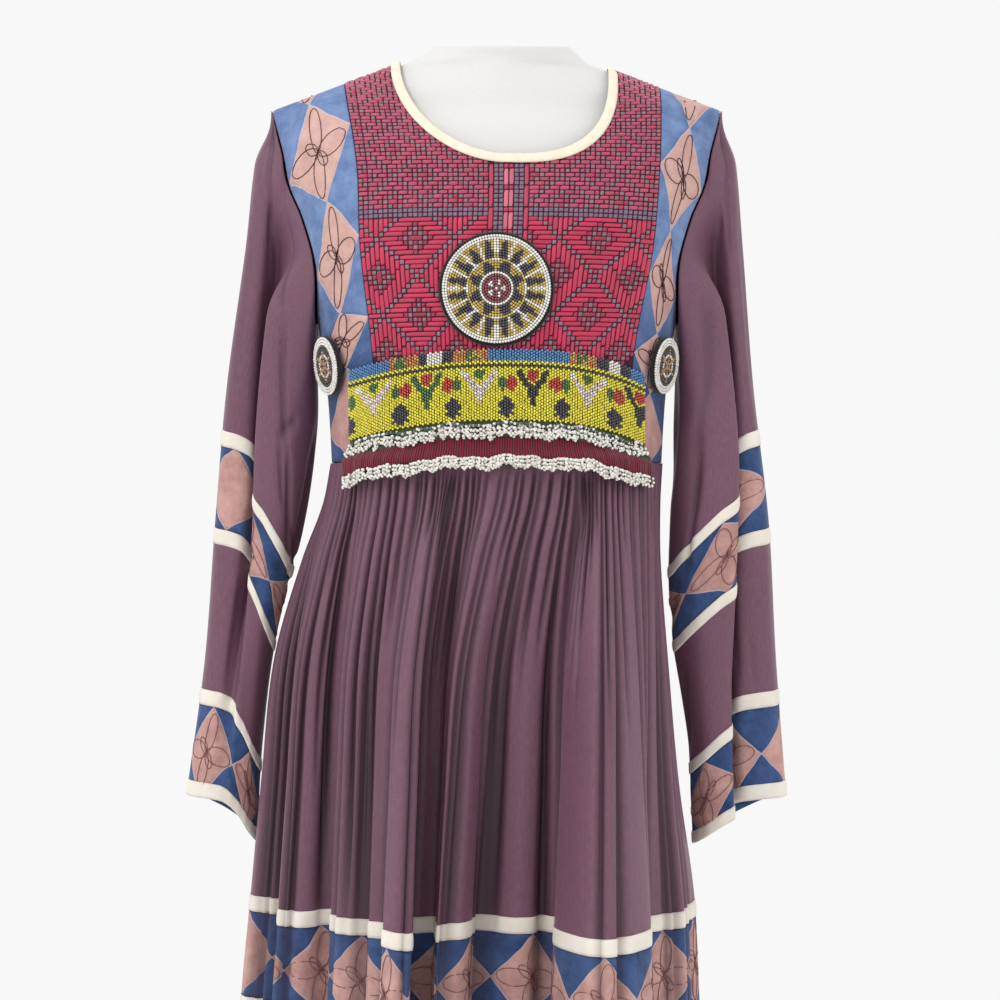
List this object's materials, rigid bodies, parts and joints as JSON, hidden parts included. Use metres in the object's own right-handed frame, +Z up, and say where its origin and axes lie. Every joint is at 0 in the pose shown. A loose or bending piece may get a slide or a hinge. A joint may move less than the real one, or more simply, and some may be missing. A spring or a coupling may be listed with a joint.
{
  "type": "kuchi dress on a limbless dress form",
  "caption": "Long-sleeved gathered dress with embroidered yoke, patchwork bands and beaded belt, worn on a headless, armless dress form on a pole and round base.",
  "frame": {"origin": "middle of the underside of the stand's round base", "axes": "+Z up, the front of the dress faces -Y, +X to the left-hand side of the wearer"},
  "size_m": [0.5492, 0.4664, 1.4294],
  "materials": {
    "plum_cloth": "fine satin-faced viscose with a soft sheen",
    "patchwork": "cotton patchwork of blue and dusty pink triangles",
    "cream_tape": "flat cotton tape, slightly puckered",
    "red_embroidery": "satin-stitch embroidery covering the cloth",
    "binding": "bias binding",
    "blue_beads": "rows of small glass seed beads",
    "yellow_beads": "woven panel of small glass seed beads",
    "white_beads": "small glass seed beads",
    "red_tape": "ribbed woven tape",
    "black_felt": "thin felt",
    "form_jersey": "stretch jersey over a padded form",
    "stand_steel": "satin"
  },
  "bodies": {
    "root": {"back": "plum_cloth", "belt_bead_edging": "blue_beads", "belt_bead_fringe_lower": "white_beads", "belt_bead_fringe_upper": "white_beads", "belt_beaded_panel": "yellow_beads", "belt_red_tape": "red_tape", "dress_form_body": "form_jersey", "front_medallion_beads": "white_beads", "front_medallion_felt": "black_felt", "front_yoke": "red_embroidery", "left_medallion_beads": "white_beads", "left_medallion_felt": "black_felt", "neck_binding": "binding", "right_medallion_beads": "white_beads", "right_medallion_felt": "black_felt", "side_front_left": "patchwork", "side_front_right": "patchwork", "skirt_lower": "plum_cloth", "skirt_patchwork": "patchwork", "skirt_tape_lower": "cream_tape", "skirt_tape_upper": "cream_tape", "skirt_upper": "plum_cloth", "sleeve_left_cuff_patchwork": "patchwork", "sleeve_left_lower": "plum_cloth", "sleeve_left_patchwork": "patchwork", "sleeve_left_tape_1": "cream_tape", "sleeve_left_tape_2": "cream_tape", "sleeve_left_tape_3": "cream_tape", "sleeve_left_tape_4": "cream_tape", "sleeve_left_upper": "plum_cloth", "sleeve_right_cuff_patchwork": "patchwork", "sleeve_right_lower": "plum_cloth", "sleeve_right_patchwork": "patchwork", "sleeve_right_tape_1": "cream_tape", "sleeve_right_tape_2": "cream_tape", "sleeve_right_tape_3": "cream_tape", "sleeve_right_tape_4": "cream_tape", "sleeve_right_upper": "plum_cloth", "stand_base": "stand_steel", "stand_pole": "stand_steel"}
  },
  "joints": []
}
